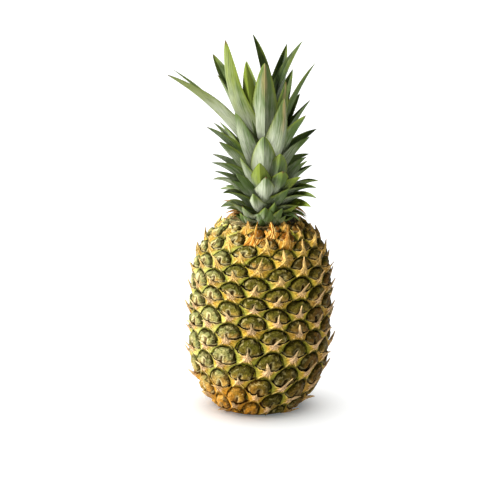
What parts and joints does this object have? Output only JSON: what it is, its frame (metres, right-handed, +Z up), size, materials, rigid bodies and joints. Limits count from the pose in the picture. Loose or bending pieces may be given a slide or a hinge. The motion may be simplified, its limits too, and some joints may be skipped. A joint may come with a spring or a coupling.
{
  "type": "pineapple",
  "caption": "Whole ripe pineapple standing upright: a barrel of spiral eyes with dry spines under a tall leafy crown.",
  "frame": {"origin": "middle of the flat base that the fruit stands on", "axes": "+Z up along the fruit's height, -Y the front, +X to the right of the front; the crown leans a few millimetres to +X"},
  "size_m": [0.1477, 0.1288, 0.3442],
  "materials": {
    "rind": "tough ripe rind, golden bracts over olive green eyes, dry pale spines, satin with a waxy bloom",
    "leaf": "stiff grey-green leaf with a pale waxy bloom, yellow-green towards margins and tips, fine lengthwise fibres"
  },
  "bodies": {
    "root": {"fruit": "rind", "crown": "leaf"}
  },
  "joints": []
}
